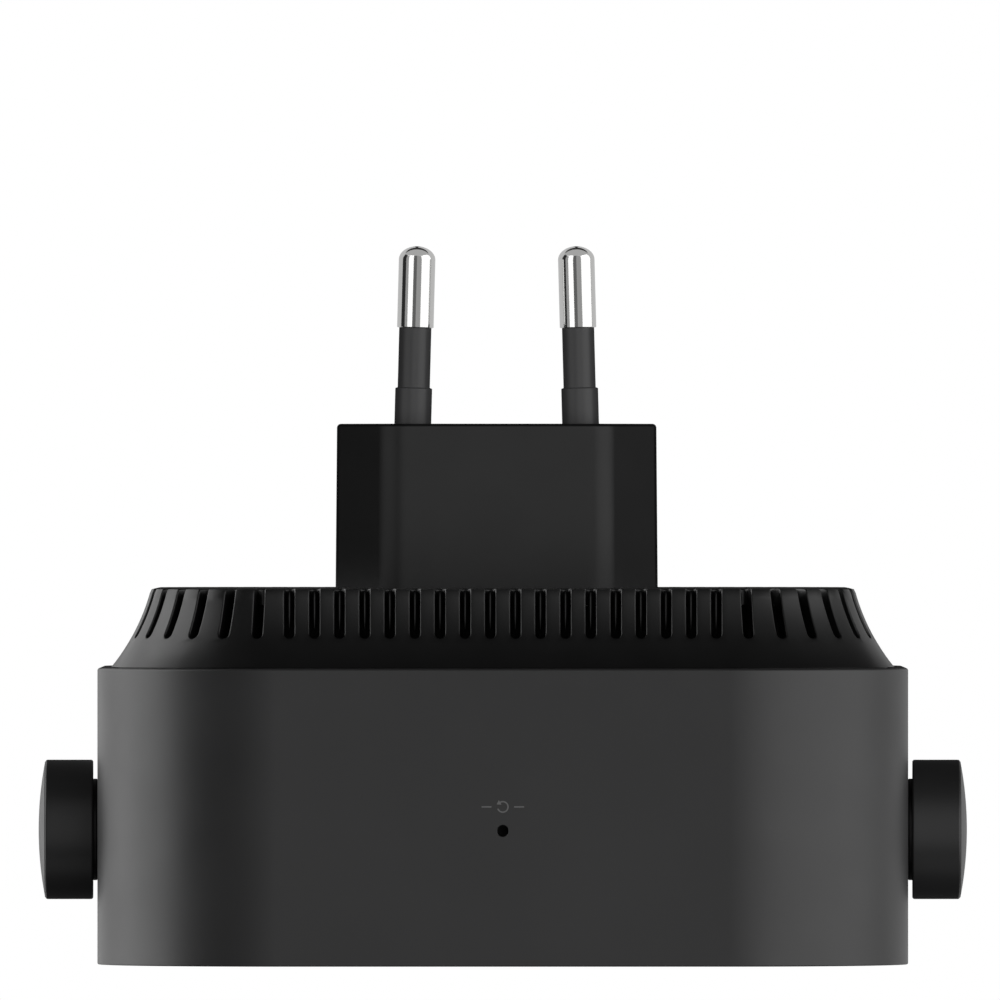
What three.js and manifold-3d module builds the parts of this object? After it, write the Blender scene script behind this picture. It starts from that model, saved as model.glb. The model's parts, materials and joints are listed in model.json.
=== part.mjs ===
// A wifi range extender that plugs straight into a wall socket, with two paddle antennas on side hinges.
// Millimetres, +Z up. The origin is the centre of the plug's engagement face, +Y runs along the pins into
// the wall, and +X is to the right for someone facing the front cover.
import * as THREE from "three";
import { mergeVertices } from "three/addons/utils/BufferGeometryUtils.js";
import Module from "manifold-3d";

const wasm = await Module();
wasm.setup();

const DEGREE = Math.PI / 180;
const GAP = 0.3; // clearance between pieces that fit round each other
const SEAT = 0.1; // clearance between flat faces that rest on each other

// Housing: a rounded square whose outlines all turn about the same four corner centres.
const HOUSING_HALF = 45;
const CORNER_CENTRE = 25;
const CORNER_STEPS = 6;
const WALL = 2;
const FRONT_Y = -60.05;
const BAND_BACK_Y = -27.15;
const SHELL_BACK_Y = -18.32;
const HOUSING_X = -0.68; // the plug sits slightly off the housing's centre line
const BAND_EDGE = 0.3;
const INNER_HALF = HOUSING_HALF - WALL;

// Front cover: an inset plate that clips behind a ledge.
const COVER_THICKNESS = 2.1;
const LEDGE_HEIGHT = 1.3;
const LEDGE_HALF = INNER_HALF - 1.6;
const WINDOW = { width: 8, height: 2.2, z: -28 };

// Flare: the rear shell's side is an arc that leans out towards the band.
const FLARE_TOP_HALF = 39.05;
const FLARE_TOP_LEAN = 14.5 * DEGREE;
const FLARE_RADIUS = 23;
const SKIRT_DEPTH = 4;
const SKIRT_WALL = 1.7;
const BACK_PLATE = 1.8;
const VENT = { width: 1.1, depth: 5.6, onBack: 3, perSide: 18, perCorner: 6, cornerPitch: 13.7 * DEGREE };
const LINER = { outer: 36.2, thickness: 1, endY: -26.4 }; // a guard ring just behind the slots

// Plug to the common 2.5 A two-pin pattern.
const PLUG = { width: 35.7, height: 13.7, bevel: 6, draft: 0.15, edge: 0.4, faceEase: 1.9, sideEase: 0.5 };
const PIN = {
  spacing: 18.75,
  lean: 1.5 * DEGREE,
  radius: 2.04,
  length: 19.85,
  tip: 1.5,
  core: 1.3,
  rear: -24,
};
const SLEEVE = { collarRadius: 2.06, collarLength: 4, radius: 1.8, length: 10.75, rear: -6 };

// Hinges and paddles.
const HINGE = { y: -45.18, z: -15, radius: 4.6, hollow: 2.6, boss: 5.65, inner: 39.5 };
const GROOVE = { x: 41, width: 0.8, radius: 4 };
const PADDLE = {
  inner: 45.47,
  rim: 50.9,
  dome: 0.76,
  endRadius: 7.76,
  tipRadius: 6.2,
  reach: 78,
  wall: 1.4,
  floor: 1.5,
  edge: 0.25,
  draft: 1.3,
};

// Boards and posts.
const POWER_BOARD = { back: -26, thickness: 1.6, half: 26.5 };
const MAIN_BOARD = { back: -47.1, thickness: 1.2, half: 35, bottom: -38, top: 36 };
const POST = { at: 29.5, radius: 3, pilot: 1.3, pilotDepth: 9 };
const SCREW = { headRadius: 2.4, headHeight: 1.6, shankRadius: 1, tipY: -40.4 };
const RESET = {
  y: -45.05,
  holeRadius: 0.67,
  stemRadius: 1.2,
  switchBottom: -37.6,
  boreTop: -36.2,
  travel: 0.3,
};
const SHIELD = { x: [-22, 22], z: [-8, 26], height: 2.8, wall: 0.4 };
const SPREADER = { x: [-25, 25], y: [-42, -40.8], z: [-12, 27], flange: 1.2, flangeEnd: -45.5 };
const LEAD = { radius: 0.65, startX: 30, startZ: 3.2, endX: 43.6 };

// Plain block-shaped parts, as ranges in the housing's frame.
const BLOCKS = [
  { name: "board_connector", x: [-6, 6], y: [-46.9, -27.7], z: [-22, -18], finish: "pale" },
  { name: "insulating_sheet", x: [-27, 27], y: [-39.2, -38.8], z: [-14, 26], finish: "pale" },
  { name: "thermal_pad", x: [-8, 8], y: [-44.1, -42.1], z: [0, 16], finish: "grey" },
  { name: "soc_chip", x: [-7, 7], y: [-47, -45.7], z: [1, 15], finish: "chip" },
  { name: "memory_chip", x: [11, 19], y: [-47, -45.9], z: [5, 11], finish: "chip" },
  { name: "status_led", x: [-0.8, 0.8], y: [-49.4, -48.4], z: [-28.5, -27.5], finish: "clear" },
];

const FINISH = {
  blackShell: { color: 0x1b1b1c, roughness: 0.5, metalness: 0 },
  blackBand: { color: 0x202021, roughness: 0.4, metalness: 0 },
  sleeve: { color: 0x1a1a1b, roughness: 0.45, metalness: 0 },
  nickel: { color: 0xd8d8d6, roughness: 0.15, metalness: 1 },
  copper: { color: 0xb87345, roughness: 0.35, metalness: 1 },
  steel: { color: 0xa9abac, roughness: 0.35, metalness: 1 },
  aluminium: { color: 0xc4c6c8, roughness: 0.4, metalness: 1 },
  board: { color: 0x1f5a34, roughness: 0.55, metalness: 0 },
  chip: { color: 0x17181a, roughness: 0.5, metalness: 0 },
  clear: { color: 0xe6eef0, roughness: 0.2, metalness: 0 },
  pale: { color: 0xe9e7e0, roughness: 0.6, metalness: 0 },
  grey: { color: 0x8d9296, roughness: 0.8, metalness: 0 },
};

const part = new THREE.Group();
const housing = new THREE.Group();
housing.position.x = HOUSING_X;
part.add(housing);

// ---------- shape helpers ----------

function solidOf(geometry) {
  const bare = geometry.clone();
  bare.deleteAttribute("normal");
  bare.deleteAttribute("uv");
  const merged = mergeVertices(bare, 1e-4);
  const mesh = new wasm.Mesh({
    numProp: 3,
    vertProperties: new Float32Array(merged.attributes.position.array),
    triVerts: new Uint32Array(merged.index.array),
  });
  return new wasm.Manifold(mesh);
}

function geometryOf(solid) {
  const mesh = solid.getMesh();
  const geometry = new THREE.BufferGeometry();
  geometry.setAttribute("position", new THREE.BufferAttribute(mesh.vertProperties, 3));
  geometry.setIndex(new THREE.BufferAttribute(mesh.triVerts, 1));
  const flat = geometry.toNonIndexed();
  flat.computeVertexNormals();
  return flat;
}

function join(...pieces) {
  return geometryOf(pieces.map(solidOf).reduce((sum, piece) => sum.add(piece)));
}

function cut(body, ...tools) {
  return geometryOf(tools.map(solidOf).reduce((rest, tool) => rest.subtract(tool), solidOf(body)));
}

// A skin over rings of matching points. A tube's last ring meets its first; otherwise both ends are flat.
function loft(rings, isTube = false) {
  const count = rings[0].length;
  const index = [];
  const bands = isTube ? rings.length : rings.length - 1;
  for (let ring = 0; ring < bands; ring++) {
    const here = ring * count;
    const next = ((ring + 1) % rings.length) * count;
    for (let i = 0; i < count; i++) {
      const j = (i + 1) % count;
      index.push(here + i, here + j, next + j, here + i, next + j, next + i);
    }
  }
  if (!isTube) {
    const last = (rings.length - 1) * count;
    for (let i = 1; i < count - 1; i++) {
      index.push(0, i + 1, i);
      index.push(last, last + i, last + i + 1);
    }
  }
  const geometry = new THREE.BufferGeometry().setFromPoints(rings.flat());
  geometry.setIndex(index);
  return facingOut(geometry);
}

function facingOut(geometry) {
  const index = Array.from(geometry.index.array);
  const [a, b, c] = [new THREE.Vector3(), new THREE.Vector3(), new THREE.Vector3()];
  let volume = 0;
  for (let i = 0; i < index.length; i += 3) {
    a.fromBufferAttribute(geometry.attributes.position, index[i]);
    b.fromBufferAttribute(geometry.attributes.position, index[i + 1]);
    c.fromBufferAttribute(geometry.attributes.position, index[i + 2]);
    volume += a.dot(b.cross(c));
  }
  if (volume < 0) geometry.setIndex(index.reverse());
  const flat = geometry.toNonIndexed();
  flat.computeVertexNormals();
  return flat;
}

function box(xs, ys, zs) {
  const geometry = new THREE.BoxGeometry(xs[1] - xs[0], ys[1] - ys[0], zs[1] - zs[0]);
  return geometry.translate((xs[0] + xs[1]) / 2, (ys[0] + ys[1]) / 2, (zs[0] + zs[1]) / 2);
}

// A turned piece from [radius, position] pairs, standing along Y.
function turned(profile, segments = 16) {
  return new THREE.LatheGeometry(profile.map(([r, at]) => new THREE.Vector2(r, at)), segments);
}

// Turns a piece that stands along Y to lie along X, or to hang along Z with its start uppermost.
function alongX(geometry) {
  return geometry.rotateZ(-Math.PI / 2);
}

function alongZ(geometry) {
  return geometry.rotateX(Math.PI / 2);
}

// Extrudes an outline of [y, z] pairs along X.
function acrossX(outline, from, depth) {
  const shape = new THREE.Shape(outline.map(([y, z]) => new THREE.Vector2(y, z)));
  const plate = new THREE.ExtrudeGeometry(shape, { depth, bevelEnabled: false });
  const axes = [[0, 1, 0], [0, 0, 1], [1, 0, 0]].map((axis) => new THREE.Vector3(...axis));
  plate.applyMatrix4(new THREE.Matrix4().makeBasis(...axes));
  return plate.translate(from, 0, 0);
}

function rod(radius, from, to, segments = 16) {
  return turned([[0, from], [radius, from], [radius, to], [0, to]], segments);
}

// A ring lying round Y, as a closed turned section.
function washer(innerRadius, outerRadius, from, to, segments = 16) {
  const profile = [
    [innerRadius, from],
    [outerRadius, from],
    [outerRadius, to],
    [innerRadius, to],
    [innerRadius, from],
  ];
  return turned(profile, segments);
}

function mesh(name, geometry, finish, parent = housing) {
  const piece = new THREE.Mesh(geometry, new THREE.MeshStandardMaterial(FINISH[finish]));
  piece.name = name;
  parent.add(piece);
  return piece;
}

// A rounded square in a plane across Y. Its corners turn about the shared corner centres.
function roundedSquare(half, y) {
  const radius = half - CORNER_CENTRE;
  const points = [];
  for (let quarter = 0; quarter < 4; quarter++) {
    const diagonal = (quarter + 0.5) * 90 * DEGREE;
    const centreX = CORNER_CENTRE * Math.sign(Math.cos(diagonal));
    const centreZ = CORNER_CENTRE * Math.sign(Math.sin(diagonal));
    for (let step = 0; step <= CORNER_STEPS; step++) {
      const angle = (quarter + step / CORNER_STEPS) * 90 * DEGREE;
      const x = centreX + radius * Math.cos(angle);
      const z = centreZ + radius * Math.sin(angle);
      points.push(new THREE.Vector3(x, y, z));
    }
  }
  return points;
}

// ---------- housing ----------

function flareHalf(y) {
  const sine = Math.sin(FLARE_TOP_LEAN) + (SHELL_BACK_Y - y) / FLARE_RADIUS;
  return FLARE_TOP_HALF + FLARE_RADIUS * (Math.cos(FLARE_TOP_LEAN) - Math.sqrt(1 - sine * sine));
}

function hingeBore(side) {
  const bore = alongX(rod(HINGE.radius + GAP, INNER_HALF - 1, HOUSING_HALF + 1));
  bore.translate(0, HINGE.y, HINGE.z);
  return side > 0 ? bore : bore.rotateY(Math.PI).translate(0, 0, 2 * HINGE.z);
}

function housingBand() {
  const ledgeFront = FRONT_Y + COVER_THICKNESS + SEAT;
  const section = [
    [HOUSING_HALF, FRONT_Y],
    [HOUSING_HALF, BAND_BACK_Y - BAND_EDGE],
    [HOUSING_HALF - BAND_EDGE, BAND_BACK_Y],
    [INNER_HALF, BAND_BACK_Y],
    [INNER_HALF, ledgeFront + LEDGE_HEIGHT],
    [LEDGE_HALF, ledgeFront + LEDGE_HEIGHT],
    [LEDGE_HALF, ledgeFront],
    [INNER_HALF, ledgeFront],
    [INNER_HALF, FRONT_Y],
  ];
  const ring = loft(section.map(([half, y]) => roundedSquare(half, y)), true);
  const resetHole = alongZ(rod(RESET.holeRadius, -HOUSING_HALF - 1, -INNER_HALF + 1, 12));
  resetHole.translate(0, RESET.y, 0);
  return cut(ring, hingeBore(1), hingeBore(-1), resetHole);
}

function coverHook(turn) {
  const ledgeBack = FRONT_Y + COVER_THICKNESS + SEAT + LEDGE_HEIGHT;
  const stemOuter = LEDGE_HALF - GAP;
  const stem = box([-4, 4], [FRONT_Y + 1, ledgeBack + 1], [stemOuter - 1.2, stemOuter]);
  const barb = box([-4, 4], [ledgeBack + GAP, ledgeBack + 1], [stemOuter - 0.5, stemOuter + 0.8]);
  return join(stem, barb).rotateY(turn * 90 * DEGREE);
}

function frontCover() {
  const half = INNER_HALF - GAP;
  const plate = loft([roundedSquare(half, FRONT_Y), roundedSquare(half, FRONT_Y + COVER_THICKNESS)]);
  const hooks = [0, 1, 2, 3].map(coverHook);
  const window = box(
    [-WINDOW.width / 2, WINDOW.width / 2],
    [FRONT_Y - 1, FRONT_Y + COVER_THICKNESS + 1],
    [WINDOW.z - WINDOW.height / 2, WINDOW.z + WINDOW.height / 2],
  );
  return cut(join(plate, ...hooks), window);
}

// The vent slots start on the back face, run over its rim and down the flare.
function ventSlots() {
  const pitch = (2 * CORNER_CENTRE) / VENT.perSide;
  const deep = SHELL_BACK_Y - VENT.depth;
  const from = FLARE_TOP_HALF - VENT.onBack;
  const past = HOUSING_HALF + 1;
  const slot = (centre) =>
    box([-VENT.width / 2, VENT.width / 2], [deep, SHELL_BACK_Y + 1], [from - centre, past - centre]);
  const slots = [];
  for (let side = 0; side < 4; side++) {
    const isHingeSide = side % 2 === 1; // these two sides have one slot more, in their middle
    const count = VENT.perSide + (isHingeSide ? 1 : 0);
    for (let i = 0; i < count; i++) {
      const along = (i - (count - 1) / 2) * pitch;
      slots.push(slot(0).translate(along, 0, 0).rotateY(side * 90 * DEGREE));
    }
    for (let i = 1; i <= VENT.perCorner; i++) {
      const fromHingeSide = i * VENT.cornerPitch;
      const turn = isHingeSide ? fromHingeSide : 90 * DEGREE - fromHingeSide;
      const cornerSlot = slot(CORNER_CENTRE).rotateY(turn).translate(CORNER_CENTRE, 0, CORNER_CENTRE);
      slots.push(cornerSlot.rotateY(side * 90 * DEGREE));
    }
  }
  return slots;
}

// One copy of a piece at each of the four posts.
function atPosts(make) {
  const corners = [[1, 1], [-1, 1], [-1, -1], [1, -1]];
  return corners.map(([x, z]) => make().translate(x * POST.at, 0, z * POST.at));
}

// A point on a pin's axis, in the housing's frame, at a distance along the pin from the engagement face.
function pinAxisX(side, along) {
  return side * (PIN.spacing / 2 - along * Math.tan(PIN.lean)) - HOUSING_X;
}

function rearVentShell() {
  const skirtHalf = INNER_HALF - GAP;
  const baseY = BAND_BACK_Y + SEAT;
  const skirtEnd = baseY - SKIRT_DEPTH;
  const belowSlots = SHELL_BACK_Y - VENT.depth - 0.15;
  const bend = (belowSlots + baseY) / 2;
  const outer = loft([
    roundedSquare(FLARE_TOP_HALF, SHELL_BACK_Y),
    roundedSquare(flareHalf(belowSlots), belowSlots),
    roundedSquare(flareHalf(bend), bend),
    roundedSquare(flareHalf(baseY), baseY),
    roundedSquare(skirtHalf, baseY),
    roundedSquare(skirtHalf, skirtEnd),
  ]);
  const inner = loft([
    roundedSquare(FLARE_TOP_HALF - WALL, SHELL_BACK_Y - BACK_PLATE),
    roundedSquare(skirtHalf - SKIRT_WALL, baseY),
    roundedSquare(skirtHalf - SKIRT_WALL, skirtEnd - 1),
  ]);
  const shell = cut(outer, inner, ...ventSlots());
  const postEnd = MAIN_BOARD.back + SEAT;
  const posts = atPosts(() => rod(POST.radius, postEnd, SHELL_BACK_Y - 1, 10));
  const pilots = atPosts(() => rod(POST.pilot, postEnd - 1, postEnd + POST.pilotDepth, 8));
  const midPlate = SHELL_BACK_Y - BACK_PLATE / 2;
  const pinHoles = [-1, 1].map((side) => {
    const hole = rod(PIN.core + 2 * GAP, SHELL_BACK_Y - 3, SHELL_BACK_Y + 1, 12);
    return hole.translate(pinAxisX(side, midPlate), 0, 0);
  });
  return cut(join(shell, ...posts), ...pilots, ...pinHoles);
}

function ventLiner() {
  const inner = LINER.outer - LINER.thickness;
  const startY = SHELL_BACK_Y - BACK_PLATE - SEAT;
  const section = [[LINER.outer, startY], [LINER.outer, LINER.endY], [inner, LINER.endY], [inner, startY]];
  return loft(section.map(([half, y]) => roundedSquare(half, y)), true);
}

// ---------- plug ----------

// The plug's long octagon, with its eight corners eased.
function plugOutline(inset, y) {
  const halfWidth = PLUG.width / 2 - inset;
  const halfHeight = PLUG.height / 2 - inset;
  const shortX = halfWidth - PLUG.bevel + 0.4 * inset;
  const shortZ = halfHeight - PLUG.bevel + 0.4 * inset;
  const corners = [
    [halfWidth, -shortZ],
    [halfWidth, shortZ],
    [shortX, halfHeight],
    [-shortX, halfHeight],
    [-halfWidth, shortZ],
    [-halfWidth, -shortZ],
    [-shortX, -halfHeight],
    [shortX, -halfHeight],
  ].map(([x, z]) => new THREE.Vector3(x, y, z));
  return corners.flatMap((corner, i) => {
    const ease = Math.abs(corner.x) > shortX ? PLUG.sideEase : PLUG.faceEase;
    const before = corners[(i + 7) % 8].clone().sub(corner).setLength(ease);
    const after = corners[(i + 1) % 8].clone().sub(corner).setLength(ease);
    return [corner.clone().add(before), corner.clone().add(after)];
  });
}

// Turns a piece that stands along Y at the origin onto the axis of one leaning pin.
function onPinAxis(geometry, side) {
  return geometry.rotateZ(side * PIN.lean).translate((side * PIN.spacing) / 2, 0, 0);
}

function plugBlock() {
  const body = loft([
    plugOutline(PLUG.edge, 0),
    plugOutline(0, -PLUG.edge),
    plugOutline(-PLUG.draft, SHELL_BACK_Y + SEAT),
  ]);
  const bores = [-1, 1].map((side) => {
    const wide = rod(SLEEVE.collarRadius + GAP, SLEEVE.rear - GAP, 2, 16);
    const narrow = rod(PIN.core + GAP, SHELL_BACK_Y - 2, SLEEVE.rear, 16);
    return onPinAxis(join(wide, narrow), side);
  });
  return cut(body, ...bores);
}

function plugPin(side) {
  const shoulder = SLEEVE.length;
  const profile = [[0, PIN.rear], [PIN.core, PIN.rear], [PIN.core, shoulder], [PIN.radius, shoulder]];
  const tipStart = PIN.length - PIN.tip;
  for (let step = 0; step <= 4; step++) {
    const angle = (step / 4) * 90 * DEGREE;
    profile.push([PIN.radius * Math.cos(angle), tipStart + PIN.tip * Math.sin(angle)]);
  }
  profile[profile.length - 1][0] = 0;
  return onPinAxis(turned(profile, 14), side);
}

function pinSleeve(side) {
  const bore = PIN.core + SEAT;
  const end = SLEEVE.length - SEAT;
  const profile = [
    [bore, SLEEVE.rear],
    [SLEEVE.collarRadius, SLEEVE.rear],
    [SLEEVE.collarRadius, SLEEVE.collarLength],
    [SLEEVE.radius, SLEEVE.collarLength],
    [SLEEVE.radius, end],
    [bore, end],
    [bore, SLEEVE.rear],
  ];
  return onPinAxis(turned(profile, 14), side);
}

// A U-shaped spring contact that stands on the power board and takes the rear end of a pin.
function pinContact(side) {
  const x = pinAxisX(side, -22);
  const body = box([x - 2.4, x + 2.4], [POWER_BOARD.back + SEAT, -21.2], [-2.5, 2.5]);
  const slot = box([x - 1.8, x + 1.8], [POWER_BOARD.back + 0.8, -20], [-3, 3]);
  return cut(body, slot);
}

// ---------- boards and what they carry ----------

function powerBoard() {
  const { back, thickness, half } = POWER_BOARD;
  return box([-half, half], [back - thickness, back], [-half, half]);
}

function mainBoard() {
  const { back, thickness, half, bottom, top } = MAIN_BOARD;
  const plate = box([-half, half], [back - thickness, back], [bottom, top]);
  return cut(plate, ...atPosts(() => rod(POST.pilot, back - 3, back + 1, 8)));
}

function boardScrew() {
  const { headRadius, headHeight, shankRadius, tipY } = SCREW;
  const seat = MAIN_BOARD.back - MAIN_BOARD.thickness - SEAT;
  const profile = [
    [0, seat - headHeight],
    [headRadius - 0.6, seat - headHeight],
    [headRadius, seat - headHeight + 0.6],
    [headRadius, seat],
    [shankRadius, seat],
    [shankRadius, tipY - 0.6],
    [0, tipY],
  ];
  return turned(profile, 10);
}

function transformer() {
  const top = POWER_BOARD.back - POWER_BOARD.thickness - SEAT;
  const core = box([5, 20], [top - 8.5, top - 3], [1, 15]);
  const winding = rod(6, top - 10, top - 1.5, 14).translate(12.5, 0, 8);
  const base = box([6, 19], [top - 2, top], [2, 14]);
  return join(core, winding, base);
}

function lyingCapacitor(x) {
  const top = POWER_BOARD.back - POWER_BOARD.thickness - SEAT;
  const profile = [[0, -7], [3.6, -7], [4, -6.6], [4, 5.2], [3.7, 5.6], [4, 6], [4, 7], [0, 7]];
  return alongZ(turned(profile, 14)).translate(x, top - 4.1, 4);
}

function fuseResistor() {
  const top = POWER_BOARD.back - POWER_BOARD.thickness - SEAT;
  const halfProfile = [[1.4, 4.5], [1.4, 2.7], [1.1, 2.4]];
  const mirrored = halfProfile.map(([r, at]) => [r, -at]);
  const profile = [[0, -4.5], ...mirrored, ...halfProfile.reverse(), [0, 4.5]];
  return alongX(turned(profile, 10)).translate(-14, top - 1.5, 19);
}

// The screening can: five thin walls, open to the board.
function rfShield() {
  const foot = MAIN_BOARD.back + SEAT;
  const inset = ([low, high]) => [low + SHIELD.wall, high - SHIELD.wall];
  const can = box(SHIELD.x, [foot, foot + SHIELD.height], SHIELD.z);
  const inside = box(inset(SHIELD.x), [foot - 1, foot + SHIELD.height - SHIELD.wall], inset(SHIELD.z));
  return cut(can, inside);
}

function heatSpreader() {
  const { x, y, z, flange, flangeEnd } = SPREADER;
  const edges = [x[0], x[1] - flange];
  const flanges = edges.map((edge) => box([edge, edge + flange], [flangeEnd, y[1] - 0.2], z));
  return join(box(x, y, z), ...flanges);
}

function resetSwitch() {
  const back = MAIN_BOARD.back + SEAT;
  const body = box([-3, 3], [back, back + 3.6], [RESET.switchBottom, RESET.switchBottom + 3.5]);
  const bore = alongZ(rod(RESET.stemRadius + GAP, RESET.switchBottom - 1, RESET.boreTop, 12));
  return cut(body, bore.translate(0, RESET.y, 0));
}

function resetPlunger() {
  const tip = -INNER_HALF + 0.4;
  const top = RESET.boreTop - RESET.travel - GAP;
  const profile = [[0, tip], [0.8, tip], [RESET.stemRadius, tip + 0.4], [RESET.stemRadius, top], [0, top]];
  return alongZ(turned(profile, 12)).translate(0, RESET.y, 0);
}

function lightPipe() {
  const half = WINDOW.width / 2 - GAP;
  const tall = WINDOW.height / 2 - GAP;
  const blade = box([-half, half], [FRONT_Y, -50.2], [WINDOW.z - tall, WINDOW.z + tall]);
  const seat = FRONT_Y + COVER_THICKNESS + 0.2;
  const flange = box([-half - 1.5, half + 1.5], [seat, seat + 1], [WINDOW.z - 2.2, WINDOW.z + 2.2]);
  return join(blade, flange);
}

// ---------- hinges, paddles and their leads, made for the +X side ----------

// The paddle's outline across X: a round end about the hinge and a smaller round tip above it.
// With a draft its plane leans away from the housing, by that much from the round end to the tip.
function paddleOutline(inset, x, draft = 0) {
  const lower = PADDLE.endRadius - inset;
  const upper = PADDLE.tipRadius - inset;
  const lean = Math.asin((PADDLE.endRadius - PADDLE.tipRadius) / PADDLE.reach);
  const steps = 8;
  const points = [];
  for (let step = 0; step <= steps; step++) {
    const angle = lean + (step / steps) * (Math.PI - 2 * lean);
    points.push([upper * Math.cos(angle), PADDLE.reach + upper * Math.sin(angle)]);
  }
  for (let step = 0; step <= steps; step++) {
    const angle = Math.PI - lean + (step / steps) * (Math.PI + 2 * lean);
    points.push([lower * Math.cos(angle), lower * Math.sin(angle)]);
  }
  const slope = draft / (PADDLE.endRadius + PADDLE.reach + PADDLE.tipRadius);
  const leaningX = (z) => x + slope * (z + PADDLE.endRadius);
  return points.map(([y, z]) => new THREE.Vector3(leaningX(z), HINGE.y + y, HINGE.z + z));
}

function onHinge(geometry) {
  return alongX(geometry).translate(0, HINGE.y, HINGE.z);
}

function antennaArm() {
  const { inner, rim, wall, floor, edge, draft } = PADDLE;
  const body = loft([
    paddleOutline(edge, inner, draft),
    paddleOutline(0, inner + edge, draft),
    paddleOutline(0, rim - SEAT),
  ]);
  const pocket = loft([paddleOutline(wall, inner + floor, draft), paddleOutline(wall, rim + 1)]);
  const pivot = turned([
    [0, HINGE.inner],
    [HINGE.radius, HINGE.inner],
    [HINGE.radius, GROOVE.x],
    [GROOVE.radius, GROOVE.x],
    [GROOVE.radius, GROOVE.x + GROOVE.width],
    [HINGE.radius, GROOVE.x + GROOVE.width],
    [HINGE.radius, HOUSING_HALF + SEAT],
    [HINGE.boss, HOUSING_HALF + SEAT],
    [HINGE.boss, inner + 0.5],
    [0, inner + 0.5],
  ]);
  const hollow = rod(HINGE.hollow, HINGE.inner - 1, inner + floor + 1, 12);
  return cut(join(cut(body, pocket), onHinge(pivot)), onHinge(hollow));
}

function domeHeight(inset) {
  const { dome, endRadius } = PADDLE;
  const radius = (endRadius * endRadius + dome * dome) / (2 * dome);
  const across = endRadius - inset;
  return Math.sqrt(radius * radius - across * across) - (radius - dome);
}

function antennaShell() {
  const { rim, wall } = PADDLE;
  const lip = wall + GAP;
  return loft([
    paddleOutline(lip, rim - 1),
    paddleOutline(lip, rim),
    paddleOutline(0, rim),
    ...[2, 4, 6].map((inset) => paddleOutline(inset, rim + domeHeight(inset))),
  ]);
}

function antennaRadiator() {
  const strip = [[-1.2, 4], [1.2, 4], [1.2, 24], [4.2, 26], [3.6, 74], [-3.6, 74], [-4.2, 26], [-1.2, 24]];
  const from = PADDLE.rim - 2.3;
  return acrossX(strip, from, 0.8).translate(0, HINGE.y, HINGE.z);
}

function hingeWasher() {
  return onHinge(washer(HINGE.radius + GAP, 6.8, GROOVE.x + GROOVE.width + 0.15, INNER_HALF - SEAT, 16));
}

// The retaining clip: a flat ring with a mouth that slides over the pivot's groove.
function hingeClip() {
  const ring = washer(GROOVE.radius + 0.2, 6.6, GROOVE.x + SEAT, GROOVE.x + GROOVE.width - SEAT, 16);
  const mouth = box([-3, 3], [GROOVE.x - 1, GROOVE.x + 2], [-8, -2.5]);
  return onHinge(cut(ring, mouth));
}

// The lead runs from its plug on the board round to the hinge and ends inside the hollow pivot.
function coaxLead() {
  const { radius, startX, startZ, endX } = LEAD;
  const route = [
    [startX, HINGE.y - 0.9, startZ],
    [startX + 0.2, HINGE.y - 0.8, startZ - 6],
    [startX + 1.5, HINGE.y - 0.2, HINGE.z + 6],
    [startX + 4, HINGE.y, HINGE.z + 1.4],
    [startX + 8, HINGE.y, HINGE.z],
    [endX, HINGE.y, HINGE.z],
  ].map((point) => new THREE.Vector3(...point));
  const section = new THREE.Shape();
  section.absarc(0, 0, radius, 0, 2 * Math.PI, false);
  return new THREE.ExtrudeGeometry(section, {
    steps: 16,
    curveSegments: 4,
    bevelEnabled: false,
    extrudePath: new THREE.CatmullRomCurve3(route),
  });
}

function coaxPlug() {
  const plug = rod(1.5, MAIN_BOARD.back + SEAT, MAIN_BOARD.back + 2, 12);
  return plug.translate(LEAD.startX, 0, LEAD.startZ + 2);
}

// ---------- assembly ----------

mesh("front_cover", frontCover(), "blackBand");
mesh("housing_band", housingBand(), "blackBand");
mesh("rear_vent_shell", rearVentShell(), "blackShell");
mesh("vent_liner", ventLiner(), "blackShell");
mesh("plug_block", plugBlock(), "blackShell", part);
for (const [name, side] of [["right", 1], ["left", -1]]) {
  mesh("plug_pin_" + name, plugPin(side), "nickel", part);
  mesh("pin_sleeve_" + name, pinSleeve(side), "sleeve", part);
  mesh("pin_contact_" + name, pinContact(side), "copper");
}

mesh("power_board", powerBoard(), "board");
mesh("transformer", transformer(), "chip");
mesh("bulk_capacitor_a", lyingCapacitor(-9), "chip");
mesh("bulk_capacitor_b", lyingCapacitor(-19), "chip");
mesh("output_capacitor", rod(3.2, -36.7, -27.7, 12).translate(18, 0, -12), "chip");
mesh("fuse_resistor", fuseResistor(), "pale");
mesh("heat_spreader", heatSpreader(), "aluminium");
mesh("rf_shield", rfShield(), "steel");
mesh("main_board", mainBoard(), "board");
for (const { name, x, y, z, finish } of BLOCKS) mesh(name, box(x, y, z), finish);
mesh("light_pipe", lightPipe(), "clear");
mesh("reset_switch", resetSwitch(), "chip");
mesh("reset_plunger", resetPlunger(), "blackShell");
atPosts(boardScrew).forEach((screw, i) => mesh("board_screw_" + (i + 1), screw, "steel"));

for (const [name, side] of [["right", 1], ["left", -1]]) {
  const hand = new THREE.Group();
  hand.scale.x = side;
  housing.add(hand);
  mesh("antenna_arm_" + name, antennaArm(), "blackShell", hand);
  mesh("antenna_shell_" + name, antennaShell(), "blackShell", hand);
  mesh("antenna_radiator_" + name, antennaRadiator(), "board", hand);
  mesh("hinge_washer_" + name, hingeWasher(), "steel", hand);
  mesh("hinge_clip_" + name, hingeClip(), "steel", hand);
  mesh("coax_lead_" + name, coaxLead(), "grey", hand);
  mesh("coax_plug_" + name, coaxPlug(), "nickel", hand);
}

export default part;
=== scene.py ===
"""The looks of a plug-in wifi range extender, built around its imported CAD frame. Metres, +Z up."""

import json
import math

import bmesh
import bpy
from mathutils import Matrix, Vector


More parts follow.
